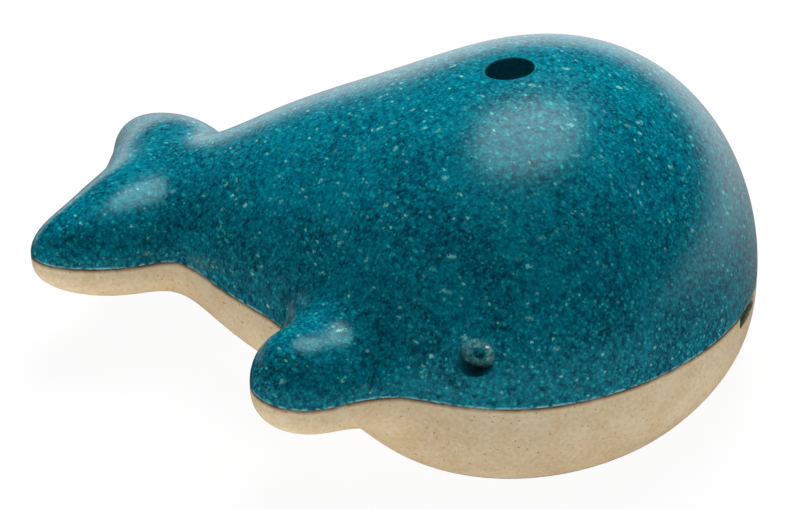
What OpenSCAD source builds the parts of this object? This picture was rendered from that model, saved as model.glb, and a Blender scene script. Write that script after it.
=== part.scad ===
// Whale bath toy of pressed sawdust: two moulded half shells with a reed squeaker under the blowhole.
// Millimetres. The whale faces +X, its left side is +Y, and it rests on its flat belly at Z = 0.

/* [Head and body] */
// Height of the seam between the two shells above the flat belly
seam_h = 13.6; // [12.5:0.1:15]
// Place of the head's widest point along the body
head_x = 11.7; // [10:0.1:13.5]
// Half length of the head in plan
head_rx = 27.8; // [25.5:0.1:30]
// Half width of the head in plan
head_ry = 37.1; // [35.5:0.1:39.5]
// Height of the dome above the seam
head_up = 30; // [28.5:0.1:32]
// Depth of the head form below the seam, before the belly is cut flat
head_down = 20.5; // [18:0.1:23]
// Place of the shoulders along the body
shoulder_x = 3.1; // [1:0.1:5]
// Half length of the shoulders
shoulder_rx = 32.4; // [30:0.1:34.5]
// Half width of the shoulders
shoulder_ry = 25.1; // [23:0.1:27.5]
// Height of the shoulders above the seam
shoulder_up = 22.8; // [21:0.1:24.5]
// Depth of the shoulders below the seam
shoulder_down = 12.9; // [11:0.1:14]
// Place of the back along the body
back_x = -12.6; // [-15:0.1:-10]
// Half length of the back
back_rx = 22; // [20:0.1:24]
// Half width of the back
back_ry = 20.5; // [18:0.1:22]
// Height of the back above the seam
back_up = 16.2; // [15:0.1:18]
// Depth of the back below the seam
back_down = 11.3; // [10:0.1:12.5]
// Place of the tail stock along the body
stock_x = -22.5; // [-25:0.1:-20]
// Half length of the tail stock
stock_rx = 23.1; // [21:0.1:25]
// Half width of the tail stock
stock_ry = 10.7; // [9.5:0.1:12]
// Height of the tail stock above the seam
stock_up = 9.9; // [9:0.1:11]
// Depth of the tail stock below the seam
stock_down = 7.3; // [6.5:0.1:9]

/* [Fins] */
// Place of a fin's root along the body
fin_root_x = -2.7; // [-4.5:0.1:-1]
// Distance of a fin's root from the middle
fin_root_y = 26.6; // [25:0.1:28]
// Half length of a fin's root
fin_root_rx = 13.8; // [12:0.1:15]
// Half breadth of a fin's root
fin_root_ry = 10.1; // [9:0.1:11.5]
// Height of a fin's root above the seam
fin_root_up = 7.5; // [6.8:0.1:8.4]
// Depth of a fin's root below the seam
fin_root_down = 6.8; // [6:0.1:8]
// Place of a fin's tip along the body
fin_tip_x = -9.4; // [-10.6:0.1:-8.2]
// Distance of a fin's tip from the middle
fin_tip_y = 39; // [37.8:0.1:40.4]
// Half length of a fin's tip
fin_tip_rx = 6; // [5.3:0.1:6.7]
// Half breadth of a fin's tip
fin_tip_ry = 6.5; // [6:0.1:7.2]
// Height of a fin's tip above the seam
fin_tip_up = 6.9; // [6:0.1:7.7]
// Depth of a fin's tip below the seam
fin_tip_down = 5.2; // [4.5:0.1:6]
// Angle of a fin's root to the body
fin_root_turn = 110; // [105:1:115]
// Angle of a fin's tip to the body
fin_tip_turn = 123; // [118:1:128]

/* [Flukes] */
// Place of a fluke's root along the body
fluke_root_x = -45.2; // [-46.5:0.1:-44]
// Distance of a fluke's root from the middle
fluke_root_y = 7; // [6:0.1:8]
// Half length of a fluke's root
fluke_root_rx = 10.3; // [9.3:0.1:11.2]
// Half breadth of a fluke's root
fluke_root_ry = 8.2; // [7.5:0.1:9]
// Height of a fluke's root above the seam
fluke_root_up = 7.6; // [6.8:0.1:8.4]
// Depth of a fluke's root below the seam
fluke_root_down = 6; // [5:0.1:7]
// Place of a fluke's tip along the body
fluke_tip_x = -48.2; // [-49.5:0.1:-47]
// Distance of a fluke's tip from the middle
fluke_tip_y = 12.6; // [12:0.1:13.5]
// Half length of a fluke's tip
fluke_tip_rx = 9.7; // [8.8:0.1:10.5]
// Half breadth of a fluke's tip
fluke_tip_ry = 5.8; // [5.2:0.1:6.4]
// Height of a fluke's tip above the seam
fluke_tip_up = 5.1; // [4.6:0.1:5.8]
// Depth of a fluke's tip below the seam
fluke_tip_down = 5.3; // [4.6:0.1:5.8]
// Angle of a fluke's root to the body
fluke_root_turn = 98; // [92:1:104]
// Angle of a fluke's tip to the body
fluke_tip_turn = 138; // [133:1:143]

/* [Form] */
// Softness of the blends along the body
body_blend = 4.6; // [3.5:0.1:5.5]
// Softness of the blends at fins and flukes
limb_blend = 2.2; // [1.8:0.1:2.8]
// Fullness of the upper form: 2 is round, less is more pointed
upper_full = 2.05; // [1.9:0.05:2.2]
// Fullness of the lower form: 2 is round, more is boxier
lower_full = 2.85; // [2.5:0.05:3.2]
// Height of the upright land at the seam
seam_land = 0.3; // [0.2:0.05:0.5]

/* [Openings] */
// Place of the blowhole along the body
blow_x = 7.2; // [6:0.1:9]
// Diameter of the blowhole
blow_d = 6.7; // [6:0.1:7.5]
// Length of the blowhole, from the top of the dome to the squeaker's seat
blow_len = 6.5; // [6:0.1:7.5]
// Width of the mouth slot
mouth_w = 7.2; // [6:0.1:9]
// Height of the mouth slot, down from the seam
mouth_h = 2.2; // [1.8:0.1:2.8]
// Place of the eyes along the body
eye_x = 14.2; // [12:0.1:16]
// Height of the eyes above the seam
eye_z = 7; // [6:0.1:8]
// Diameter of an eye recess
eye_d = 4.9; // [4.2:0.1:5.6]
// Depth of an eye recess
eye_depth = 1.6; // [1.4:0.1:2.2]
// Diameter of the drill point's pit in an eye
pit_d = 1.6; // [1.2:0.1:2]
// Depth of the drill point's pit
pit_depth = 0.9; // [0.6:0.1:1.2]

/* [Air chamber] */
// Place of the chamber's middle along the body
chamber_x = 10; // [9:0.1:11]
// Radius of the ball-milled dome of the chamber
chamber_r = 23.5; // [22:0.1:24.5]
// Depth of the chamber below the seam
chamber_down = 8; // [7:0.1:9]
// Radius where the chamber's floor meets its wall
chamber_fillet = 4; // [3:0.1:6]
// Wall of the boss that holds the squeaker
boss_wall = 2.6; // [2.2:0.1:3.2]

/* [Dowels] */
// Diameter of a locating dowel
dowel_d = 5; // [4:0.1:6]
// Length of a locating dowel
dowel_len = 12; // [10:0.1:13]
// Place of the two side dowels along the body
dowel_x = 2; // [0:0.1:4]
// Distance of the side dowels from the middle
dowel_y = 30; // [29:0.1:31]
// Place of the tail dowel along the body
tail_dowel_x = -26; // [-28:0.1:-23]
// Clearance round a dowel
dowel_gap = 0.05; // [0.02:0.01:0.1]
// Clearance past each end of a dowel
dowel_end_gap = 0.3; // [0.2:0.05:0.5]

/* [Squeaker] */
// Outer diameter of the squeaker's tube
tube_d = 12; // [11:0.1:13]
// Inner diameter of the squeaker's tube
tube_bore = 8.4; // [8:0.1:9]
// Length of the tube inside the boss
tube_len = 9; // [8:0.1:10]
// Diameter of the tube's flange
flange_d = 17; // [16.5:0.1:18.5]
// Thickness of the flange
flange_t = 1.6; // [1.2:0.1:2]
// Thickness of the rubber seal
seal_t = 1; // [0.8:0.1:1.4]
// Clearance of the fixed pieces of the squeaker
seat_gap = 0.05; // [0.02:0.01:0.08]
// Width of the air groove in the reed base
groove_w = 3; // [2.6:0.1:3.4]
// Length of the reed's free tongue
tongue_len = 12; // [10:0.1:13]
// Width of the reed
reed_w = 4.6; // [4.2:0.1:5.2]
// Thickness of the reed
reed_t = 0.2; // [0.15:0.05:0.3]
// Length of the reed's held tail
tail_len = 1.2; // [1:0.1:1.5]
// Gap from the resting reed to the face of its base
reed_gap = 0.3; // [0.28:0.01:0.4]
// Gap from the reed's tail to the wedge
wedge_gap = 0.15; // [0.12:0.01:0.2]
// Length of the wedge
wedge_len = 5; // [4:0.1:6]
// Length of the base above the wedge
base_rise = 1.5; // [1:0.1:2]
// Thickness of the closed foot of the reed base
base_foot = 1.4; // [1:0.1:2]

/* [Hidden] */
$fn = 64;

upper_colour = "#0f7185";
lower_colour = "#cdb48c";
dowel_colour = "#c79a62";
housing_colour = "#e8e4da";
seal_colour = "#34312e";
reed_base_colour = "#d9cfb8";
wedge_colour = "#b98a52";
reed_colour = "#d8a94a";

// Mesh of the moulded forms: rays round half the outline, and rings from the outline to the spine
rays = 84;
rings = 14;
spine_rho = 0.03;
solve_steps = 18;
reach_r = 48;
reach_z = 60;
overshoot = 2;
convexity = 10;
lap = 0.01;
far = 200;

// Lumps of the form: place along and across, half sizes, turn, height and depth
trunk = [
    [head_x, 0, head_rx, head_ry, 0, head_up, head_down],
    [shoulder_x, 0, shoulder_rx, shoulder_ry, 0, shoulder_up, shoulder_down],
    [back_x, 0, back_rx, back_ry, 0, back_up, back_down],
    [stock_x, 0, stock_rx, stock_ry, 0, stock_up, stock_down],
];
left_limbs = [
    [fin_root_x, fin_root_y, fin_root_rx, fin_root_ry, fin_root_turn, fin_root_up, fin_root_down],
    [fin_tip_x, fin_tip_y, fin_tip_rx, fin_tip_ry, fin_tip_turn, fin_tip_up, fin_tip_down],
    [fluke_root_x, fluke_root_y, fluke_root_rx, fluke_root_ry, fluke_root_turn,
     fluke_root_up, fluke_root_down],
    [fluke_tip_x, fluke_tip_y, fluke_tip_rx, fluke_tip_ry, fluke_tip_turn, fluke_tip_up, fluke_tip_down],
];
limbs = [for (l = left_limbs, s = [1, -1]) [l[0], s * l[1], l[2], l[3], s * l[4], l[5], l[6]]];

// The form is the soft union of the lumps, and it is negative inside
function total(v) = v * [for (i = v) 1];
function soft_min(fs, k) = let (m = min(fs)) m - k * ln(total([for (f = fs) exp((m - f) / k)]));
function lump(l, x, y, z, n, h) =
    let (
        c = cos(l[4]),
        s = sin(l[4]),
        u = ((x - l[0]) * c + (y - l[1]) * s) / l[2],
        v = ((y - l[1]) * c - (x - l[0]) * s) / l[3]
    )
    (pow(pow(u * u + v * v, n / 2) + pow(abs(z) / l[h], n), 1 / n) - 1) * min(l[2], l[3]);
function form(x, y, z) =
    let (n = z < 0 ? lower_full : upper_full, h = z < 0 ? 6 : 5)
    soft_min(concat(
        [soft_min([for (l = trunk) lump(l, x, y, z, n, h)], body_blend)],
        [for (l = limbs) lump(l, x, y, z, n, h)]
    ), limb_blend);

// Distance from a point to the skin along a direction, by halving
function skin(p, d, low, high, steps = solve_steps) =
    let (mid = (low + high) / 2, q = p + mid * d)
    steps == 0 ? mid
    : form(q[0], q[1], q[2]) < 0 ? skin(p, d, mid, high, steps - 1)
    : skin(p, d, low, mid, steps - 1);

// Rays leave the spine in a fan: round the head, back along the fin, and round the fluke.
// Each row has the share of the rays passed, the place on the spine and the turn of the ray.
fan = [
    [0, head_x + 0.36 * head_rx, 0],
    [0.22, head_x - 0.07 * head_rx, 90],
    [0.32, fin_tip_x + 1.25 * fin_root_rx, fin_root_turn - 5],
    [0.42, fin_tip_x + 1.1 * fin_root_rx, fin_root_turn + 8],
    [0.58, fin_tip_x + 0.6 * fin_root_rx, fin_root_turn + 22],
    [0.68, fin_tip_x - fin_root_rx, fin_root_turn - 5],
    [0.76, fluke_root_x + 0.5 * fluke_root_rx, fluke_root_turn - 3],
    [1, fluke_root_x + 0.2 * fluke_root_rx, 180],
];
spine_at = [for (f = fan) [f[0], f[1]]];
ray_turn = [for (f = fan) [f[0], f[2]]];
ray_share = [for (i = [0:rays - 1]) i / (rays - 1)];
ray_start = [for (s = ray_share) [lookup(s, spine_at), 0, 0]];
ray_dir = [for (s = ray_share) let (a = lookup(s, ray_turn)) [cos(a), sin(a), 0]];
ray_len = [for (i = [0:rays - 1]) skin(ray_start[i], ray_dir[i], 0, reach_r)];
rho = concat([for (j = [0:rings - 1]) cos(90 * j / rings)], [spine_rho]);

outline_x = [for (i = [0:rays - 1]) ray_start[i][0] + ray_len[i] * ray_dir[i][0]];
nose_x = max(outline_x);
middle_x = (nose_x + min(outline_x)) / 2;

// The rays of the left side, then those of the right side back to the nose
loop = 2 * rays - 2;
function ray_of(p) = p < rays ? p : loop - p;
function side_of(p) = p < rays ? 1 : -1;
function plan_point(p, j) =
    let (i = ray_of(p), q = ray_start[i] + rho[j] * ray_len[i] * ray_dir[i]) [q[0], side_of(p) * q[1], 0];
function half_rows(up) = [
    for (j = [0:rings])
        [for (i = [0:rays - 1]) j == 0 ? seam_land : skin(plan_point(i, j), [0, 0, up], 0, reach_z)]
];

// One half of the form, standing on a skirt that reaches past the seam by the overshoot of the cuts
module half_form(up) {
    rise = half_rows(up);
    skin_points = [for (j = [0:rings], p = [0:loop - 1]) plan_point(p, j) + [0, 0, up * rise[j][ray_of(p)]]];
    skirt_points = [for (j = [0, rings], p = [0:loop - 1]) plan_point(p, j) - [0, 0, up * overshoot]];
    base = (rings + 1) * loop;
    crown = rings * loop;
    skin_faces = [
        for (j = [0:rings - 1], p = [0:loop - 1])
            let (a = j * loop + p, b = j * loop + (p + 1) % loop)
                each [[a, a + loop, b + loop], [a, b + loop, b]]
    ];
    wall_faces = [
        for (p = [0:loop - 1]) let (n = (p + 1) % loop) each [[base + p, p, n], [base + p, n, base + n]]
    ];
    cap_faces = [
        for (p = [0:loop - 1])
            let (a = base + p, b = base + (p + 1) % loop) each [[a, b, b + loop], [a, b + loop, a + loop]]
    ];
    crown_faces = spine_strip(crown);
    floor_faces = [for (f = spine_strip(base + loop)) [f[2], f[1], f[0]]];
    faces = concat(skin_faces, wall_faces, cap_faces, crown_faces, floor_faces);
    turned_faces = [for (f = faces) [f[2], f[1], f[0]]];
    polyhedron(concat(skin_points, skirt_points), up > 0 ? faces : turned_faces, convexity);
}
function spine_strip(first) = [
    for (i = [0:rays - 2])
        let (a = first + i, b = first + i + 1, c = first + (loop - i) % loop, d = first + loop - i - 1)
            each concat(
                i > 0 ? [[a, c, d]] : [],
                i < rays - 2 ? [[a, d, b]] : []
            )
];

// Everything is drawn about the seam, then set with its belly on the ground and its length centred
module placed() {
    translate([-middle_x, 0, seam_h]) children();
}
module below(z) {
    translate([-far, -far, z - far]) cube([2 * far, 2 * far, far]);
}

// Heights of the squeaker's seat, counted from the seam
top_z = skin([blow_x, 0, 0], [0, 0, 1], 0, reach_z);
seat_top = top_z - blow_len;
boss_bottom = seat_top - tube_len;
flange_top = boss_bottom - seal_t;
flange_bottom = flange_top - flange_t;
boss_r = tube_d / 2 + boss_wall;
base_face = -reed_t / 2 - reed_gap;
wedge_face = reed_t / 2 + wedge_gap;
plug_r = tube_bore / 2 - seat_gap;
base_top = flange_bottom + wedge_len + base_rise;
base_bottom = flange_bottom - tongue_len - base_foot;
groove_depth = groove_w / 2;

module on_blowhole() {
    translate([blow_x, 0, 0]) children();
}
module dowel_places() {
    translate([tail_dowel_x, 0, 0]) children();
    for (s = [1, -1]) translate([dowel_x, s * dowel_y, 0]) children();
}
module dowel_holes() {
    h = dowel_len + 2 * dowel_end_gap;
    dowel_places() cylinder(d = dowel_d + 2 * dowel_gap, h = h, center = true);
}

// Blind recess of one eye, drilled straight in from the side, with the pit that the drill's point leaves
eye_y = skin([eye_x, 0, eye_z], [0, 1, 0], 0, reach_r);
module eye_recess() {
    translate([eye_x, eye_y, eye_z]) rotate([-90, 0, 0]) {
        translate([0, 0, -eye_depth]) cylinder(d = eye_d, h = eye_depth + overshoot);
        translate([0, 0, -eye_depth - pit_depth]) cylinder(d1 = 0, d2 = pit_d, h = pit_depth);
        translate([0, 0, -eye_depth - lap]) cylinder(d = pit_d, h = eye_depth);
    }
}

module upper_shell() {
    color(upper_colour) placed() difference() {
        half_form(1);
        below(0);
        difference() {
            translate([chamber_x, 0, 0]) sphere(r = chamber_r);
            on_blowhole() translate([0, 0, boss_bottom]) cylinder(r = boss_r, h = far);
        }
        on_blowhole() translate([0, 0, boss_bottom - overshoot])
            cylinder(d = tube_d + 2 * seat_gap, h = tube_len + overshoot);
        on_blowhole() cylinder(d = blow_d, h = far);
        eye_recess();
        mirror([0, 1, 0]) eye_recess();
        dowel_holes();
    }
}

module lower_shell() {
    color(lower_colour) placed() difference() {
        half_form(-1);
        mirror([0, 0, 1]) below(0);
        below(-seam_h);
        translate([chamber_x, 0, 0]) rotate_extrude() {
            translate([0, -chamber_down]) square([chamber_r - chamber_fillet, chamber_down + overshoot]);
            translate([0, chamber_fillet - chamber_down])
                square([chamber_r, chamber_down - chamber_fillet + overshoot]);
            translate([chamber_r - chamber_fillet, chamber_fillet - chamber_down]) circle(r = chamber_fillet);
        }
        translate([chamber_x, -mouth_w / 2, -mouth_h]) cube([far, mouth_w, mouth_h + overshoot]);
        dowel_holes();
    }
}

module locating_dowels() {
    color(dowel_colour) placed() dowel_places() cylinder(d = dowel_d, h = dowel_len, center = true);
}

// Flanged tube, pushed up into the boss
module squeaker_housing() {
    color(housing_colour) placed() on_blowhole() difference() {
        union() {
            translate([0, 0, flange_bottom]) cylinder(d = flange_d, h = flange_t);
            translate([0, 0, flange_bottom]) cylinder(d = tube_d, h = seat_top - flange_bottom - seat_gap);
        }
        translate([0, 0, flange_bottom - overshoot]) cylinder(d = tube_bore, h = far);
    }
}

// Rubber washer between the flange and the boss
module squeaker_seal() {
    color(seal_colour) placed() on_blowhole() translate([0, 0, flange_top]) difference() {
        cylinder(d = flange_d, h = seal_t);
        translate([0, 0, -overshoot]) cylinder(d = tube_d + 2 * seat_gap, h = seal_t + 2 * overshoot);
    }
}

// Half-round stem with an air groove in its flat face, open at the top and closed at the foot
module squeaker_reed_base() {
    color(reed_base_colour) placed() on_blowhole() difference() {
        translate([0, 0, base_bottom]) cylinder(r = plug_r, h = base_top - base_bottom);
        translate([base_face, -far / 2, base_bottom - overshoot]) cube([far, far, far]);
        translate([base_face, 0, base_bottom + base_foot]) cylinder(r = groove_depth, h = far);
    }
}

// Half-round wedge that holds the reed's tail against its base and closes the other half of the tube
module squeaker_reed_wedge() {
    color(wedge_colour) placed() on_blowhole() intersection() {
        translate([0, 0, flange_bottom]) cylinder(r = plug_r, h = wedge_len);
        translate([wedge_face, -far / 2, flange_bottom - overshoot]) cube([far, far, far]);
    }
}

// Thin tongue that flutters over the groove: its root is level with the bottom of the flange
module squeaker_reed() {
    color(reed_colour) placed() on_blowhole()
        translate([-reed_t / 2, 0, flange_bottom]) rotate([0, 90, 0]) linear_extrude(reed_t) union() {
            translate([-tail_len, -reed_w / 2]) square([tail_len + tongue_len - reed_w / 2, reed_w]);
            translate([tongue_len - reed_w / 2, 0]) circle(d = reed_w);
        }
}

upper_shell();
lower_shell();
locating_dowels();
squeaker_housing();
squeaker_seal();
squeaker_reed_base();
squeaker_reed_wedge();
squeaker_reed();
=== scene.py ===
import math
import random

import bmesh
import bpy
import numpy as np
from mathutils import Matrix, Vector


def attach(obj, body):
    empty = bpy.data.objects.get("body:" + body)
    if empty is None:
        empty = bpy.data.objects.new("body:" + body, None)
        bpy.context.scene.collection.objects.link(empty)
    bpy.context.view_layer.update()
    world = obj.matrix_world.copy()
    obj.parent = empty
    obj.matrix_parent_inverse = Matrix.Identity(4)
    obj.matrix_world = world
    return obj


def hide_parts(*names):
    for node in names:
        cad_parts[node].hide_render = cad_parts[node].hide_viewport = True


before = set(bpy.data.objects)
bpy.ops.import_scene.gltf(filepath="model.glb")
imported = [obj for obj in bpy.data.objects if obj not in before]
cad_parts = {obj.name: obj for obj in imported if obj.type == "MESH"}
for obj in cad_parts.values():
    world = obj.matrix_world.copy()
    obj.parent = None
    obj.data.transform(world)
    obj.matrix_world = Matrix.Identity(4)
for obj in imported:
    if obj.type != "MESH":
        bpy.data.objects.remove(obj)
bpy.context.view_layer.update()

millimetre = 0.001

# the whale is modelled in millimetres about the seam plane, then set into the frame
placing = {
    "alongShift": 7.542,   # seam plane origin to the middle of the length
    "seamHeight": 13.6,    # belly to seam
}
seamPlace = (placing["alongShift"], 0, placing["seamHeight"])
intoFrame = Matrix.Scale(millimetre, 4) @ Matrix.Translation(seamPlace)
sharpAngle = math.radians(50)   # an edge that turns more stays crisp
near = 1e-3   # two places closer than this many millimetres are one
# places in each shell's list of materials
waxedFace, tornPaintedLightFace, boredFace = 0, 1, 2
sandedFace, milledFace = 0, 1
# each vertex goes halfway to the middle of its neighbours
easing = {"factor": 0.5, "use_axis_x": True, "use_axis_y": True, "use_axis_z": True}

# the same blended lumps as the solids: place, half sizes, turn, rise above the seam, drop below it
whaleForm = {
    "trunk": [
        {"at": (11.7, 0), "half": (27.8, 37.1), "turn": 0, "rise": 30, "drop": 20.5},   # head
        {"at": (3.1, 0), "half": (32.4, 25.1), "turn": 0, "rise": 22.8, "drop": 12.9},   # shoulders
        {"at": (-12.6, 0), "half": (22, 20.5), "turn": 0, "rise": 16.2, "drop": 11.3},   # back
        {"at": (-22.5, 0), "half": (23.1, 10.7), "turn": 0, "rise": 9.9, "drop": 7.3},   # tail stock
    ],
    "limbs": [
        {"at": (-2.7, 26.6), "half": (13.8, 10.1), "turn": 110, "rise": 7.5, "drop": 6.8},   # fin root
        {"at": (-9.4, 39), "half": (6, 6.5), "turn": 123, "rise": 6.9, "drop": 5.2},   # fin tip
        {"at": (-45.2, 7), "half": (10.3, 8.2), "turn": 98, "rise": 7.6, "drop": 6},   # fluke root
        {"at": (-48.2, 12.6), "half": (9.7, 5.8), "turn": 138, "rise": 5.1, "drop": 5.3},   # fluke tip
    ],
    "trunkBlend": 4.6,
    "limbBlend": 2.2,
    "upperFullness": 2.05,
    "lowerFullness": 2.85,
    "ballSegments": (48, 32),
    "voxel": 0.5,
    "relaxPasses": 6,
}


def mirroredLimbs():
    limbs = []
    for limb in whaleForm["limbs"]:
        for side in (1, -1):
            at = (limb["at"][0], side * limb["at"][1])
            limbs.append({**limb, "at": at, "turn": side * limb["turn"]})
    return limbs


allLimbs = mirroredLimbs()


def softMin(values, blend):
    low = values.min(0)
    return low - blend * np.log(np.exp((low - values) / blend).sum(0))


def lumpValue(lump, points, full, above):
    turn = math.radians(lump["turn"])
    x, y = points[:, 0] - lump["at"][0], points[:, 1] - lump["at"][1]
    u = (x * math.cos(turn) + y * math.sin(turn)) / lump["half"][0]
    v = (y * math.cos(turn) - x * math.sin(turn)) / lump["half"][1]
    tall = np.where(above, lump["rise"], lump["drop"])
    reach = ((u * u + v * v) ** (full / 2) + (np.abs(points[:, 2]) / tall) ** full) ** (1 / full)
    return (reach - 1) * min(lump["half"])


# negative inside the whale, zero on its skin
def formValue(points):
    above = points[:, 2] >= 0
    full = np.where(above, whaleForm["upperFullness"], whaleForm["lowerFullness"])
    trunk = np.array([lumpValue(lump, points, full, above) for lump in whaleForm["trunk"]])
    limbs = [lumpValue(lump, points, full, above) for lump in allLimbs]
    return softMin(np.array([softMin(trunk, whaleForm["trunkBlend"])] + limbs), whaleForm["limbBlend"])


def formSlope(points, step=0.02):
    slope = np.zeros_like(points)
    for axis in range(3):
        move = np.zeros(3)
        move[axis] = step
        slope[:, axis] = (formValue(points + move) - formValue(points - move)) / (2 * step)
    return slope


# walk points down the slope until they lie on the skin
def ontoSkin(points, passes=6, longest=1.5, shortest=1e-9, flattest=1e-4):
    for _ in range(passes):
        slope = formSlope(points)
        walk = formValue(points)[:, None] * slope / np.maximum((slope ** 2).sum(1), flattest)[:, None]
        size = np.linalg.norm(walk, axis=1)[:, None]
        points = points - walk * np.minimum(1, longest / np.maximum(size, shortest))
    return points


def settle(verts, passes=6):
    verts = list(verts)
    points = ontoSkin(np.array([v.co for v in verts], float), passes)
    for vert, point in zip(verts, points):
        vert.co = point


# where the skin lies along an axis through a point
def slideToSkin(point, axis, passes=10, step=0.01):
    along = 0.0
    for _ in range(passes):
        spots = np.array([point + axis * (along + move) for move in (0, step, -step)], float)
        middle, ahead, behind = formValue(spots)
        along -= middle * 2 * step / (ahead - behind)
    return point + axis * along


# one closed skin: lumps run together by Remesh, then eased onto the blended form
def makeWholeSkin():
    bm = bmesh.new()
    for lump in whaleForm["trunk"] + allLimbs:
        around, along = whaleForm["ballSegments"]
        ball = bmesh.ops.create_uvsphere(bm, u_segments=around, v_segments=along, radius=1)["verts"]
        turn = Matrix.Rotation(math.radians(lump["turn"]), 3, "Z")
        for vert in ball:
            tall = lump["rise"] if vert.co.z > 0 else lump["drop"]
            flat = turn @ Vector((vert.co.x * lump["half"][0], vert.co.y * lump["half"][1], 0))
            vert.co = Vector((lump["at"][0] + flat.x, lump["at"][1] + flat.y, vert.co.z * tall))
    mesh = bpy.data.meshes.new("lumps")
    bm.to_mesh(mesh)
    bm.free()
    lumps = bpy.data.objects.new("lumps", mesh)
    bpy.context.scene.collection.objects.link(lumps)
    remesh = lumps.modifiers.new("joined", "REMESH")
    remesh.mode = "VOXEL"
    remesh.voxel_size = whaleForm["voxel"]
    joined = lumps.evaluated_get(bpy.context.evaluated_depsgraph_get()).to_mesh()
    skin = bmesh.new()
    skin.from_mesh(joined)
    bpy.data.objects.remove(lumps)
    settle(skin.verts)
    for _ in range(whaleForm["relaxPasses"]):
        bmesh.ops.smooth_vert(skin, verts=skin.verts, **easing)
    settle(skin.verts)
    return skin


def cutFlat(bm, height, keepAbove):
    geometry = list(bm.verts) + list(bm.edges) + list(bm.faces)
    bmesh.ops.bisect_plane(bm, geom=geometry, dist=near / 10, plane_co=(0, 0, height), plane_no=(0, 0, 1),
                           clear_inner=keepAbove, clear_outer=not keepAbove)
    return [e for e in bm.edges if e.is_boundary and all(abs(v.co.z - height) < near for v in e.verts)]


# extrude a loop of edges and move its new vertices; returns the new loop
def pullLoop(bm, edges, move, material):
    made = bmesh.ops.extrude_edge_only(bm, edges=edges)["geom"]
    verts = [g for g in made if isinstance(g, bmesh.types.BMVert)]
    for vert in verts:
        vert.co = move(vert.co)
    fresh = set(verts)
    for face in (g for g in made if isinstance(g, bmesh.types.BMFace)):
        face.material_index = material
    return [g for g in made if isinstance(g, bmesh.types.BMEdge) and all(v in fresh for v in g.verts)]


def loopVerts(edges):
    return list(dict.fromkeys(v for e in edges for v in e.verts))


# open a round hole in the skin and spread its rim evenly on a circle about the axis
def openRound(bm, centre, axis, radius, rimWidth=1.5, relaxWidth=1.8, relaxPasses=3, nearSide=2.5):
    axis = axis.normalized()
    side = axis.orthogonal().normalized()
    other = axis.cross(side)

    def flatPlace(co):
        offset = co - centre
        return offset.dot(side), offset.dot(other), offset.dot(axis)

    def isNear(co, reach):
        a, b, along = flatPlace(co)
        return math.hypot(a, b) < reach and abs(along) < nearSide * reach   # not through to the far side

    bmesh.ops.delete(bm, geom=[v for v in bm.verts if isNear(v.co, radius)], context="VERTS")
    rim = [e for e in bm.edges if e.is_boundary and all(isNear(v.co, radius + rimWidth) for v in e.verts)]
    verts = loopVerts(rim)
    turns = sorted((math.atan2(flatPlace(v.co)[1], flatPlace(v.co)[0]), v.index, v) for v in verts)
    pitch = 2 * math.pi / len(turns)
    first = sum(turn - i * pitch for i, (turn, _, _) in enumerate(turns)) / len(turns)
    for i, (_, _, vert) in enumerate(turns):
        angle = first + i * pitch
        spot = centre + radius * (math.cos(angle) * side + math.sin(angle) * other)
        vert.co = Vector(slideToSkin(np.array(spot), np.array(axis)))
    near = [v for v in bm.verts if isNear(v.co, radius + relaxWidth) and not v.is_boundary]
    for _ in range(relaxPasses):
        bmesh.ops.smooth_vert(bm, verts=near, **easing)
    settle(near, relaxPasses)
    return rim


def ringMove(centre, axis, radius, drop=None, level=None):
    # drop moves each vertex down the axis, level puts it at one height on the axis
    def move(co):
        offset = co - centre
        along = offset.dot(axis)
        flat = (offset - along * axis).normalized() * radius
        return centre + flat + axis * (along - drop if level is None else level)
    return move


def insetMove(inset, level):
    def move(co):
        slope = formSlope(np.array([[co.x, co.y, level]]))[0]
        inward = Vector((-slope[0], -slope[1], 0)).normalized()
        return Vector((co.x, co.y, level)) + inward * inset
    return move


seamEdge = {"round": 0.06, "steps": 2, "rubbed": 0.4}


# quarter round from the skin into the seam face
def roundSeam(bm, edges, up, outerFace):
    size, steps = seamEdge["round"], seamEdge["steps"]
    gone = 0.0
    for step in range(1, steps + 1):
        angle = 0.5 * math.pi * step / steps
        inset = size * (1 - math.cos(angle))
        edges = pullLoop(bm, edges, insetMove(inset - gone, up * size * (1 - math.sin(angle))), outerFace)
        gone = inset
    return edges


# quarter round from the skin into a bore
def roundLip(bm, edges, centre, axis, radius, lip, material, steps=3):
    last = 0.0
    for step in range(1, steps + 1):
        turn = 0.5 * math.pi * step / steps
        ring = radius + lip * (1 - math.sin(turn))
        drop = lip * (math.cos(last) - math.cos(turn))
        edges = pullLoop(bm, edges, ringMove(centre, axis, ring, drop=drop), material)
        last = turn
    return edges


blowhole = {"along": 7.2, "radius": 3.35, "lip": 0.3, "seatTop": 24.05, "seatRadius": 6.05,
            "bossBottom": 15.05, "bossRadius": 8.6}


def openBlowhole(bm):
    up = Vector((0, 0, 1))
    foot = Vector((blowhole["along"], 0, 0))
    start = np.array((blowhole["along"], 0, whaleForm["trunk"][0]["rise"]))
    top = Vector(slideToSkin(start, np.array(up)))
    rim = openRound(bm, top, up, blowhole["radius"] + blowhole["lip"])
    rim = roundLip(bm, rim, top, up, blowhole["radius"], blowhole["lip"], boredFace)
    bore = blowhole["radius"]
    for radius, level in ((bore, blowhole["seatTop"]), (blowhole["seatRadius"], blowhole["seatTop"]),
                          (blowhole["seatRadius"], blowhole["bossBottom"]),
                          (blowhole["bossRadius"], blowhole["bossBottom"])):
        rim = pullLoop(bm, rim, ringMove(foot, up, radius, level=level), boredFace)
    return rim


chamber = {"along": 10, "radius": 23.5, "depth": 8, "fillet": 4, "filletSteps": 4, "steps": 14,
           "segments": 96}


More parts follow.
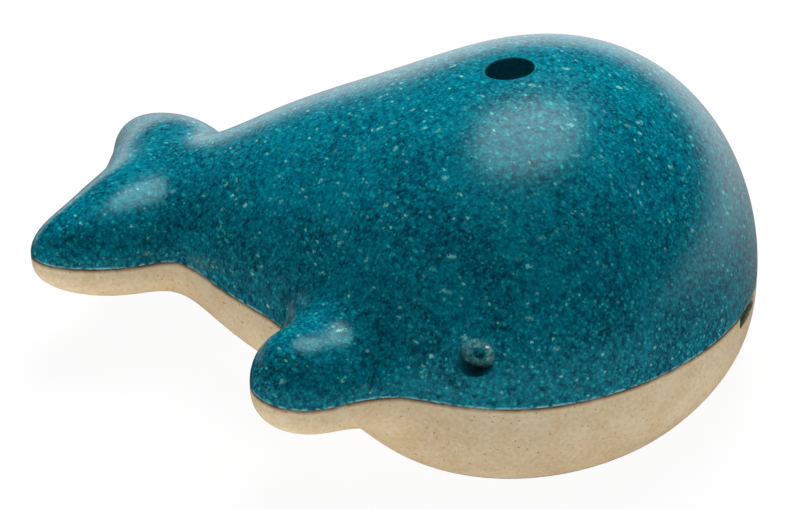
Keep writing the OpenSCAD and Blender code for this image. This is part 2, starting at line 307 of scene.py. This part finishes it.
# from the boss up to the dome of the chamber, then down the dome to the seam
def lineChamber(bm, edges):
    middle = Vector((chamber["along"], 0, 0))
    radius = chamber["radius"]

    def ontoDome(co):
        reach = (co.xy - middle.xy).length
        return Vector((co.x, co.y, math.sqrt(radius ** 2 - reach ** 2)))

    edges = pullLoop(bm, edges, ontoDome, boredFace)
    for step in range(chamber["steps"]):
        left = chamber["steps"] - step

        def lower(co):
            offset = co - middle
            lean = math.acos(max(-1, min(1, offset.z / radius)))
            lean += (0.5 * math.pi - lean) / left
            flat = offset.xy.normalized() * radius * math.sin(lean)
            return middle + Vector((flat.x, flat.y, radius * math.cos(lean)))

        edges = pullLoop(bm, edges, lower, boredFace)
    for vert in loopVerts(edges):
        vert.co.z = 0
    return edges


eyes = {"along": 14.2, "height": 7, "radius": 2.45, "lip": 0.15, "depth": 1.6,
        "floorRings": (2.2, 1.85, 1.5, 1.15, 0.85), "roughness": 0.3, "sunk": 0.4,
        "pitRings": ((0.78, 0.2), (0.6, 0.6), (0.3, 0.75)), "pitDepth": 0.8, "seed": 7}


# blind drilled eye: crisp lip, straight wall, torn floor and the pit of the drill's point
def drillEye(bm, side):
    draw = random.Random(eyes["seed"] + side)
    start = np.array((eyes["along"], side * whaleForm["trunk"][0]["half"][1], eyes["height"]), float)
    centre = Vector(slideToSkin(start, np.array((0, 1.0, 0))))
    axis = Vector((0, side, 0))
    rim = openRound(bm, centre, axis, eyes["radius"] + eyes["lip"])
    rim = roundLip(bm, rim, centre, axis, eyes["radius"], eyes["lip"], waxedFace)
    bottom = -eyes["depth"]
    rim = pullLoop(bm, rim, ringMove(centre, axis, eyes["radius"], level=bottom), boredFace)
    # the floor rings take the torn colours, drawn paler partly as painted light on the shaded floor
    for radius in eyes["floorRings"]:
        rim = pullLoop(bm, rim, ringMove(centre, axis, radius, level=bottom), tornPaintedLightFace)
        for vert in loopVerts(rim):
            vert.co += axis * eyes["roughness"] * (draw.random() - eyes["sunk"])
    for radius, drop in eyes["pitRings"]:
        rim = pullLoop(bm, rim, ringMove(centre, axis, radius, level=bottom - drop), boredFace)
    pitPoint = centre - axis * (eyes["depth"] + eyes["pitDepth"])
    bmesh.ops.pointmerge(bm, verts=loopVerts(rim), merge_co=pitPoint)


def makePiece(bm, name, body, node, materials):
    bmesh.ops.remove_doubles(bm, verts=bm.verts, dist=near / 100)
    bmesh.ops.recalc_face_normals(bm, faces=bm.faces)
    bmesh.ops.transform(bm, matrix=intoFrame, verts=bm.verts)
    mesh = bpy.data.meshes.new(name)
    bm.to_mesh(mesh)
    bm.free()
    for material in materials:
        mesh.materials.append(material)
    mesh.shade_smooth()
    mesh.set_sharp_from_angle(angle=sharpAngle)
    piece = bpy.data.objects.new(name, mesh)
    bpy.context.scene.collection.objects.link(piece)
    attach(piece, body)
    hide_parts(node)
    print(name, len(mesh.polygons), "faces")
    return piece


def makeUpperShell(skin, materials):
    bm = skin.copy()
    seam = cutFlat(bm, seamEdge["round"], True)
    drillEye(bm, 1)
    drillEye(bm, -1)
    inner = lineChamber(bm, openBlowhole(bm))
    seam = roundSeam(bm, seam, 1, waxedFace)
    bmesh.ops.triangle_fill(bm, use_beauty=True, edges=seam + inner, normal=(0, 0, -1))
    return makePiece(bm, "upperShell", "whale", "upper_shell", materials)


mouthSlot = {"width": 7.2, "height": 2.2, "cornerRadius": 0.7, "cornerSegments": 5, "inner": 26, "outer": 50}


# the slot is milled through the wall at the nose, from the seam down
def cutMouth(piece, materials):
    bm = bmesh.new()
    width, height = mouthSlot["width"], mouthSlot["height"]
    bmesh.ops.create_cube(bm, size=1)
    length = mouthSlot["outer"] - mouthSlot["inner"]
    bmesh.ops.scale(bm, vec=(length, width, 2 * height), verts=bm.verts)
    bmesh.ops.translate(bm, vec=(mouthSlot["inner"] + length / 2, 0, 0), verts=bm.verts)
    lowEdges = [e for e in bm.edges if all(v.co.z < 0 for v in e.verts)
                and abs(e.verts[0].co.y - e.verts[1].co.y) < near]
    bmesh.ops.bevel(bm, geom=lowEdges, offset=mouthSlot["cornerRadius"], affect="EDGES",
                    segments=mouthSlot["cornerSegments"], profile=0.5, material=-1)
    for face in bm.faces:
        face.material_index = milledFace
    bmesh.ops.transform(bm, matrix=intoFrame, verts=bm.verts)
    mesh = bpy.data.meshes.new("slotTool")
    bm.to_mesh(mesh)
    bm.free()
    for material in materials:
        mesh.materials.append(material)
    tool = bpy.data.objects.new("slotTool", mesh)
    bpy.context.scene.collection.objects.link(tool)
    cut = piece.modifiers.new("slot", "BOOLEAN")
    cut.operation = "DIFFERENCE"
    cut.solver = "EXACT"
    cut.object = tool
    bpy.context.view_layer.update()
    cutMesh = bpy.data.meshes.new_from_object(piece.evaluated_get(bpy.context.evaluated_depsgraph_get()))
    piece.modifiers.clear()
    piece.data = cutMesh
    bpy.data.objects.remove(tool)
    cutMesh.set_sharp_from_angle(angle=sharpAngle)


def makeLowerShell(skin, materials):
    bm = skin.copy()
    seam = cutFlat(bm, -seamEdge["round"], False)
    belly = cutFlat(bm, -placing["seamHeight"], True)
    bmesh.ops.triangle_fill(bm, use_beauty=True, edges=belly, normal=(0, 0, -1))
    seam = roundSeam(bm, seam, -1, sandedFace)
    middle = Vector((chamber["along"], 0, 0))
    up = Vector((0, 0, 1))
    ring = bmesh.ops.create_circle(bm, segments=chamber["segments"], radius=chamber["radius"],
                                   matrix=Matrix.Translation(middle))["verts"]
    circle = list(dict.fromkeys(e for v in ring for e in v.link_edges))
    bmesh.ops.triangle_fill(bm, use_beauty=True, edges=seam + circle, normal=(0, 0, 1))
    fillet, depth, wall = chamber["fillet"], chamber["depth"], chamber["radius"]
    floor = circle
    for step in range(chamber["filletSteps"] + 1):
        turn = 0.5 * math.pi * step / chamber["filletSteps"]
        radius = wall - fillet * (1 - math.cos(turn))
        level = fillet - depth - fillet * math.sin(turn)
        floor = pullLoop(bm, floor, ringMove(middle, up, radius, level=level), milledFace)
    # one more ring, drawn together at the middle of the floor
    floor = pullLoop(bm, floor, ringMove(middle, up, wall - fillet, level=-depth), milledFace)
    bmesh.ops.pointmerge(bm, verts=loopVerts(floor), merge_co=middle - depth * up)
    piece = makePiece(bm, "lowerShell", "whale", "lower_shell", materials)
    cutMouth(piece, materials)
    return piece


def linearColour(code):
    parts = [int(code[i:i + 2], 16) / 255 for i in (1, 3, 5)]
    linear = [p / 12.92 if p <= 0.04045 else ((p + 0.055) / 1.055) ** 2.4 for p in parts]
    return (*linear, 1.0)


# add a node, set its settings and fill or link its sockets
def addNode(tree, kind, sockets=None, **settings):
    node = tree.nodes.new(kind)
    for name, value in settings.items():
        setattr(node, name, value)
    for socket, value in (sockets or {}).items():
        if isinstance(value, bpy.types.NodeSocket):
            tree.links.new(value, node.inputs[socket])
        else:
            node.inputs[socket].default_value = value
    return node


def newMaterial(name):
    material = bpy.data.materials.new(name)
    material.use_nodes = True
    tree = material.node_tree
    tree.nodes.clear()
    shader = addNode(tree, "ShaderNodeBsdfPrincipled")
    addNode(tree, "ShaderNodeOutputMaterial", {"Surface": shader.outputs[0]})
    place = addNode(tree, "ShaderNodeTexCoord").outputs["Object"]
    return material, tree, shader, place


def perMetre(size):
    return 1 / (size * millimetre)


# where a Mix node has its sockets for colours
shareIn, underIn, overIn, mixedOut = 0, 6, 7, 2


# lay colours over a ground, each by its own share
def layColours(tree, ground, layers):
    colour = linearColour(ground)
    for share, code in layers:
        mix = addNode(tree, "ShaderNodeMix", {shareIn: share, underIn: colour, overIn: linearColour(code)},
                      data_type="RGBA")
        colour = mix.outputs[mixedOut]
    return colour


tealLooks = {
    # dyed sawdust pressed and waxed: deep dye full of paler grains, under a soft clear reflection
    "waxedTealSawdust": {"deep": "#004058", "dye": "#00778e", "grain": "#1cb8ba", "fleck": "#7cd6d4",
                         "edge": "#8acaca", "roughness": 0.22, "gloss": 0.5, "bump": 0.06},
    # floor of the drilled eye: dull, paler partly from the torn grain and partly as painted light on the
    # shaded floor
    "tornTealSawdustPaintedLight": {"deep": "#12606e", "dye": "#4a9aa3", "grain": "#9fd3d1", "fleck": "#e9f7f4",
                        "edge": "#3a8a94", "roughness": 0.9, "gloss": 0.2, "bump": 0.6},
    # bored walls and the chamber: raw, dark and dull
    "boredTealSawdust": {"deep": "#0a6a78", "dye": "#108292", "grain": "#30a0aa", "fleck": "#5cb8be",
                         "edge": "#0a6675", "roughness": 0.8, "gloss": 0.2, "bump": 0.2},
}
bumpDepth = 0.3
# sizes in millimetres; a fleck has cell spacing, length over width, share of its cell, share of plain cells
tealGrain = {
    "cloud": {"Scale": perMetre(8), "Detail": 2},
    "mottle": {"Scale": perMetre(1.0), "Detail": 3, "Roughness": 0.65},
    "grain": {"Scale": perMetre(0.5), "Detail": 3, "Roughness": 0.75},
    "cloudShare": 0.4,
    "dyeSpan": {"From Min": 0.5, "From Max": 0.85},
    "grainSpan": {"From Min": 0.5, "From Max": 0.74, "To Max": 0.6},
    "flecks": ((0.7, 1.7, 0.34, 0.3), (1.0, 2.2, 0.3, 0.4)),
    "chips": ((1.2, 1.7, 0.19, 0.35), (2.1, 1.9, 0.17, 0.5)),
    "torn": 0.9,
    "wearSpan": {"From Min": 0.42, "From Max": 0.6},
    "waxIor": 1.45, "waxTint": "#c4ffff",
}
grainTurns = ((0.5, 0.3, 0), (1.57, 0.4, 0.9), (0.3, 1.57, 0.8))
fleckCore = 0.3   # part of a fleck that has its full colour


# short flecks of one lie: stretched cells of which some show a soft core, torn at its rim by a finer noise
def addFlecks(tree, place, turn, spacing, stretch, size, plain, noise=0.5, torn=0.0):
    turned = addNode(tree, "ShaderNodeMapping", {"Vector": place, "Rotation": turn, "Scale": (1, 1, stretch)},
                     vector_type="TEXTURE")
    cells = addNode(tree, "ShaderNodeTexVoronoi", {"Vector": turned.outputs[0], "Scale": perMetre(spacing)})
    reach = addNode(tree, "ShaderNodeMath", {0: noise, 1: torn, 2: cells.outputs["Distance"]},
                    operation="MULTIPLY_ADD")
    core = addNode(tree, "ShaderNodeMapRange", {"Value": reach.outputs[0], "From Min": torn / 2 + size,
                                                "From Max": torn / 2 + size * fleckCore})
    pick = addNode(tree, "ShaderNodeSeparateColor", {0: cells.outputs["Color"]})
    strength = addNode(tree, "ShaderNodeMapRange", {"Value": pick.outputs[0], "From Min": plain})
    return addNode(tree, "ShaderNodeMath", {0: core.outputs[0], 1: strength.outputs[0]},
                   operation="MULTIPLY").outputs[0]


def makeTealComposite(name):
    look = tealLooks[name]
    material, tree, shader, place = newMaterial(name)
    cloud = addNode(tree, "ShaderNodeTexNoise", {"Vector": place, **tealGrain["cloud"]}).outputs[0]
    mottle = addNode(tree, "ShaderNodeTexNoise", {"Vector": place, **tealGrain["mottle"]}).outputs[0]
    shade = addNode(tree, "ShaderNodeMath", {0: cloud, 1: tealGrain["cloudShare"], 2: mottle},
                    operation="MULTIPLY_ADD")
    dyed = addNode(tree, "ShaderNodeMapRange", {"Value": shade.outputs[0], **tealGrain["dyeSpan"]})
    # the finest fibres of the real board are drawn coarser, so that they show
    grain = addNode(tree, "ShaderNodeTexNoise", {"Vector": place, **tealGrain["grain"]}).outputs[0]
    paler = addNode(tree, "ShaderNodeMapRange", {"Value": grain, **tealGrain["grainSpan"]})
    layers = [(dyed.outputs[0], look["dye"]), (paler.outputs[0], look["grain"])]
    for turn, sizes in zip(grainTurns, tealGrain["flecks"]):
        layers.append((addFlecks(tree, place, turn, *sizes, grain, tealGrain["torn"]), look["grain"]))
    for turn, sizes in zip(grainTurns[1:], tealGrain["chips"]):
        layers.append((addFlecks(tree, place, turn, *sizes, grain, tealGrain["torn"]), look["fleck"]))
    # the lowest edge is rubbed paler along the seam
    height = addNode(tree, "ShaderNodeSeparateXYZ", {0: place}).outputs[2]
    seamTop = placing["seamHeight"] * millimetre
    rubbedTop = seamTop + seamEdge["rubbed"] * millimetre
    rub = addNode(tree, "ShaderNodeMapRange", {"Value": height, "From Min": rubbedTop, "From Max": seamTop})
    patchy = addNode(tree, "ShaderNodeMapRange", {"Value": mottle, **tealGrain["wearSpan"]})
    worn = addNode(tree, "ShaderNodeMath", {0: rub.outputs[0], 1: patchy.outputs[0]}, operation="MULTIPLY")
    layers.append((worn.outputs[0], look["edge"]))
    colour = layColours(tree, look["deep"], layers)
    tree.links.new(colour, shader.inputs["Base Color"])
    shader.inputs["Roughness"].default_value = look["roughness"]
    shader.inputs["IOR"].default_value = tealGrain["waxIor"]
    shader.inputs["Specular IOR Level"].default_value = look["gloss"]
    shader.inputs["Specular Tint"].default_value = linearColour(tealGrain["waxTint"])
    bump = addNode(tree, "ShaderNodeBump", {"Height": grain, "Strength": look["bump"],
                                            "Distance": bumpDepth * millimetre})
    tree.links.new(bump.outputs[0], shader.inputs["Normal"])
    return material


naturalLooks = {
    # undyed sawdust, sanded: pale and even, with fine brown bark specks and a dirtier line along the seam
    "sandedNaturalSawdust": {"pale": "#e0cdab", "warm": "#d5bb90", "speck": "#8f6d44", "seam": "#6f4d2a",
                             "roughness": 0.55, "bump": 0.1},
    # walls of the mouth slot and the chamber: warmer and rough from the cutter
    "milledNaturalSawdust": {"pale": "#dcc6a0", "warm": "#c9ab7c", "speck": "#7d5c38", "seam": "#c9ab7c",
                             "roughness": 0.85, "bump": 0.5},
}
# sizes in millimetres, and specks as the flecks above
naturalGrain = {
    "cloud": {"Scale": perMetre(5), "Detail": 4, "Roughness": 0.7},
    "grain": {"Scale": perMetre(0.6), "Detail": 2, "Roughness": 0.6},
    "warmSpan": {"From Min": 0.8, "From Max": 1.2},
    "specks": ((0.6, 2.4, 0.2, 0.25), (0.9, 2.8, 0.2, 0.35)),
    "seamWidth": 0.7, "seamCore": 0.15,
    "seamSpan": {"From Min": 0.3, "From Max": 0.55, "To Min": 0.5},
}


def makeNaturalComposite(name):
    look = naturalLooks[name]
    material, tree, shader, place = newMaterial(name)
    cloud = addNode(tree, "ShaderNodeTexNoise", {"Vector": place, **naturalGrain["cloud"]}).outputs[0]
    grain = addNode(tree, "ShaderNodeTexNoise", {"Vector": place, **naturalGrain["grain"]}).outputs[0]
    shade = addNode(tree, "ShaderNodeMath", {0: cloud, 1: grain})
    warmth = addNode(tree, "ShaderNodeMapRange", {"Value": shade.outputs[0], **naturalGrain["warmSpan"]})
    layers = [(warmth.outputs[0], look["warm"])]
    for turn, sizes in zip(grainTurns, naturalGrain["specks"]):
        layers.append((addFlecks(tree, place, turn, *sizes), look["speck"]))
    # an uneven line of dirt just under the seam
    height = addNode(tree, "ShaderNodeSeparateXYZ", {0: place}).outputs[2]
    seamTop = placing["seamHeight"] * millimetre
    lineFoot = seamTop - naturalGrain["seamWidth"] * millimetre
    lineTop = seamTop - naturalGrain["seamCore"] * millimetre
    line = addNode(tree, "ShaderNodeMapRange", {"Value": height, "From Min": lineFoot, "From Max": lineTop})
    patchy = addNode(tree, "ShaderNodeMapRange", {"Value": cloud, **naturalGrain["seamSpan"]})
    uneven = addNode(tree, "ShaderNodeMath", {0: line.outputs[0], 1: patchy.outputs[0]}, operation="MULTIPLY")
    layers.append((uneven.outputs[0], look["seam"]))
    colour = layColours(tree, look["pale"], layers)
    tree.links.new(colour, shader.inputs["Base Color"])
    shader.inputs["Roughness"].default_value = look["roughness"]
    bump = addNode(tree, "ShaderNodeBump", {"Height": grain, "Strength": look["bump"],
                                            "Distance": bumpDepth * millimetre})
    tree.links.new(bump.outputs[0], shader.inputs["Normal"])
    return material


innerGrain = {"span": {"From Min": 0.35, "From Max": 0.65}, "detail": 3, "bump": 0.1, "depth": 0.1}


# an inner piece: two close colours run together in a faint grain of the real material
def makeInnerMaterial(finish):
    material, tree, shader, place = newMaterial(finish["name"])
    run = addNode(tree, "ShaderNodeMapping", {"Vector": place, "Scale": (1, 1, finish["stretch"])})
    grain = addNode(tree, "ShaderNodeTexNoise", {"Vector": run.outputs[0], "Scale": perMetre(finish["grain"]),
                                                 "Detail": innerGrain["detail"]}).outputs[0]
    share = addNode(tree, "ShaderNodeMapRange", {"Value": grain, **innerGrain["span"]})
    colour = layColours(tree, finish["pale"], [(share.outputs[0], finish["dark"])])
    tree.links.new(colour, shader.inputs["Base Color"])
    shader.inputs["Roughness"].default_value = finish["roughness"]
    shader.inputs["Metallic"].default_value = finish["metallic"]
    bump = addNode(tree, "ShaderNodeBump", {"Height": grain, "Strength": innerGrain["bump"],
                                            "Distance": innerGrain["depth"] * millimetre})
    tree.links.new(bump.outputs[0], shader.inputs["Normal"])
    return material


innerFinishes = {
    # beech: warm tan with fine lengthwise grain
    "locating_dowels": {"name": "turnedBeech", "pale": "#d3ab78", "dark": "#b98d58", "grain": 0.6,
                        "stretch": 0.15, "roughness": 0.6, "metallic": 0.0},
    # ivory plastic: smooth, with a soft gloss
    "squeaker_housing": {"name": "mouldedIvoryPlastic", "pale": "#ece7da", "dark": "#e2dccb", "grain": 1.5,
                         "stretch": 1, "roughness": 0.3, "metallic": 0.0},
    # rubber: near black and dull
    "squeaker_seal": {"name": "blackRubber", "pale": "#2a2825", "dark": "#201e1c", "grain": 0.8,
                      "stretch": 1, "roughness": 0.7, "metallic": 0.0},
    # cream plastic: a little duller than the tube
    "squeaker_reed_base": {"name": "mouldedCreamPlastic", "pale": "#dcd3bd", "dark": "#d0c6ac", "grain": 1.5,
                           "stretch": 1, "roughness": 0.4, "metallic": 0.0},
    # cork: brown, mottled and matt
    "squeaker_reed_wedge": {"name": "cutCork", "pale": "#c19765", "dark": "#8f6739", "grain": 0.7,
                            "stretch": 1, "roughness": 0.85, "metallic": 0.0},
    # brass strip: bright yellow metal with rolling lines
    "squeaker_reed": {"name": "rolledBrass", "pale": "#d9b257", "dark": "#c79d42", "grain": 0.4,
                      "stretch": 0.05, "roughness": 0.28, "metallic": 1.0},
}


def finishInnerPieces():
    for node, finish in innerFinishes.items():
        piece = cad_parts[node]
        piece.data.materials.clear()
        piece.data.materials.append(makeInnerMaterial(finish))
    print("inner pieces", len(innerFinishes))


photoCamera = {"azimuth": 18.60, "elevation": 30.03, "distance": 598.1, "focalPixels": 4426.8,
               "target": (3.54, -15.77, 21.60), "frameWidth": 787, "sensor": 36,
               "clipStart": 10}


def addCamera():
    azimuth, elevation = math.radians(photoCamera["azimuth"]), math.radians(photoCamera["elevation"])
    back = Vector((math.sin(azimuth) * math.cos(elevation), -math.cos(azimuth) * math.cos(elevation),
                   math.sin(elevation)))
    data = bpy.data.cameras.new("photoCamera")
    data.sensor_width = photoCamera["sensor"]
    data.lens = photoCamera["focalPixels"] / photoCamera["frameWidth"] * photoCamera["sensor"]
    data.clip_start = photoCamera["clipStart"] * millimetre
    camera = bpy.data.objects.new("photoCamera", data)
    camera.location = (Vector(photoCamera["target"]) + back * photoCamera["distance"]) * millimetre
    camera.rotation_euler = back.to_track_quat("Z", "Y").to_euler()
    bpy.context.scene.collection.objects.link(camera)
    bpy.context.scene.camera = camera
    print("camera", round(data.lens), "mm lens")


# lengths in metres; the wall's spans are parts of a direction's height and depth
studio = {
    "floorSize": 4.0, "floorColour": "#f4f4f4", "floorGlow": 0.96, "white": "#ffffff", "ambient": 0.01,
    "sweep": {"From Min": 0.0, "From Max": 0.15, "To Min": 0.01},
    "wallHeight": {"From Min": 0.12, "From Max": 0.03},
    "wallSide": {"From Min": 0.0, "From Max": 0.5},
}


# plain pale floor that shows almost white to the camera and keeps the soft shadow
def addFloor():
    bm = bmesh.new()
    bmesh.ops.create_grid(bm, x_segments=1, y_segments=1, size=studio["floorSize"] / 2)
    mesh = bpy.data.meshes.new("floor")
    bm.to_mesh(mesh)
    bm.free()
    floor = bpy.data.objects.new("floor", mesh)
    bpy.context.scene.collection.objects.link(floor)
    material = bpy.data.materials.new("paleFloor")
    material.use_nodes = True
    tree = material.node_tree
    tree.nodes.clear()
    paint = addNode(tree, "ShaderNodeBsdfDiffuse", {"Color": linearColour(studio["floorColour"])})
    white = linearColour(studio["white"])
    glow = addNode(tree, "ShaderNodeEmission", {"Color": white, "Strength": 1.0})
    path = addNode(tree, "ShaderNodeLightPath")
    seen = addNode(tree, "ShaderNodeMath", {0: path.outputs["Is Camera Ray"],
                                            1: path.outputs["Is Transmission Ray"]}, operation="MAXIMUM")
    share = addNode(tree, "ShaderNodeMath", {0: seen.outputs[0], 1: studio["floorGlow"]},
                    operation="MULTIPLY")
    # reflections see a dim floor in front and a white sweep behind
    place = addNode(tree, "ShaderNodeTexCoord").outputs["Object"]
    across = addNode(tree, "ShaderNodeSeparateXYZ", {0: place}).outputs[1]
    sweep = addNode(tree, "ShaderNodeMapRange", {"Value": across, **studio["sweep"]})
    mirrored = addNode(tree, "ShaderNodeEmission", {"Color": white, "Strength": sweep.outputs[0]})
    lit = addNode(tree, "ShaderNodeMixShader", {0: path.outputs["Is Glossy Ray"], 1: paint.outputs[0],
                                                2: mirrored.outputs[0]})
    mixed = addNode(tree, "ShaderNodeMixShader", {0: share.outputs[0], 1: lit.outputs[0], 2: glow.outputs[0]})
    addNode(tree, "ShaderNodeOutputMaterial", {"Surface": mixed.outputs[0]})
    mesh.materials.append(material)
    print("floor", studio["floorSize"], "m wide")


# white to the camera, a white back wall in reflections, and a low even fill on the object
def addWorld():
    world = bpy.data.worlds.new("studio")
    world.use_nodes = True
    tree = world.node_tree
    tree.nodes.clear()
    place = addNode(tree, "ShaderNodeTexCoord").outputs["Generated"]
    way = addNode(tree, "ShaderNodeSeparateXYZ", {0: place})
    low = addNode(tree, "ShaderNodeMapRange", {"Value": way.outputs[2], **studio["wallHeight"]})
    behind = addNode(tree, "ShaderNodeMapRange", {"Value": way.outputs[1], **studio["wallSide"]})
    wall = addNode(tree, "ShaderNodeMath", {0: low.outputs[0], 1: behind.outputs[0]}, operation="MULTIPLY")
    path = addNode(tree, "ShaderNodeLightPath")
    glossy = addNode(tree, "ShaderNodeMath", {0: path.outputs["Is Glossy Ray"], 1: wall.outputs[0]},
                     operation="MULTIPLY")
    fill = addNode(tree, "ShaderNodeMath", {0: path.outputs["Is Diffuse Ray"], 1: studio["ambient"]},
                   operation="MULTIPLY")
    lit = addNode(tree, "ShaderNodeMath", {0: glossy.outputs[0], 1: fill.outputs[0]}, operation="MAXIMUM")
    seen = addNode(tree, "ShaderNodeMath", {0: path.outputs["Is Camera Ray"],
                                            1: path.outputs["Is Transmission Ray"]}, operation="MAXIMUM")
    strength = addNode(tree, "ShaderNodeMath", {0: lit.outputs[0], 1: seen.outputs[0]}, operation="MAXIMUM")
    light = addNode(tree, "ShaderNodeBackground", {"Color": linearColour(studio["white"]),
                                                   "Strength": strength.outputs[0]})
    addNode(tree, "ShaderNodeOutputWorld", {"Surface": light.outputs[0]})
    bpy.context.scene.world = world
    print("world fill", studio["ambient"])


# a strong soft key from behind, a soft panel overhead that shows in the gloss, and a white card on the floor
# in front of the whale; places and sizes in metres, power in watts
lamps = {
    "backKey": {"at": (-0.13, 0.68, 0.85), "aim": (0, 0, 0), "size": (0.7, 0.7), "power": 15,
                "mirrored": False},
    "topPanel": {"at": (-0.08, 0.36, 0.93), "aim": (0, 0, 0), "size": (0.7, 0.66), "power": 4.2,
                 "mirrored": True},
    "floorCard": {"at": (0.05, -0.18, 0.0002), "aim": (0.05, -0.18, 1), "size": (0.45, 0.36), "power": 0.31,
                  "mirrored": False},
}


def addLamps():
    for name, lamp in lamps.items():
        data = bpy.data.lights.new(name, "AREA")
        data.shape = "ELLIPSE"
        data.size, data.size_y = lamp["size"]
        data.energy = lamp["power"]
        light = bpy.data.objects.new(name, data)
        light.location = lamp["at"]
        light.rotation_euler = (Vector(lamp["at"]) - Vector(lamp["aim"])).to_track_quat("Z", "Y").to_euler()
        light.visible_camera = False
        light.visible_glossy = lamp["mirrored"]
        bpy.context.scene.collection.objects.link(light)
    print("lamps", len(lamps))


addCamera()
wholeSkin = makeWholeSkin()
print("skin", len(wholeSkin.verts), "vertices")
makeUpperShell(wholeSkin, [makeTealComposite(name) for name in tealLooks])
makeLowerShell(wholeSkin, [makeNaturalComposite(name) for name in naturalLooks])
wholeSkin.free()
finishInnerPieces()
addFloor()
addWorld()
addLamps()
bpy.context.scene.view_settings.view_transform = "Standard"
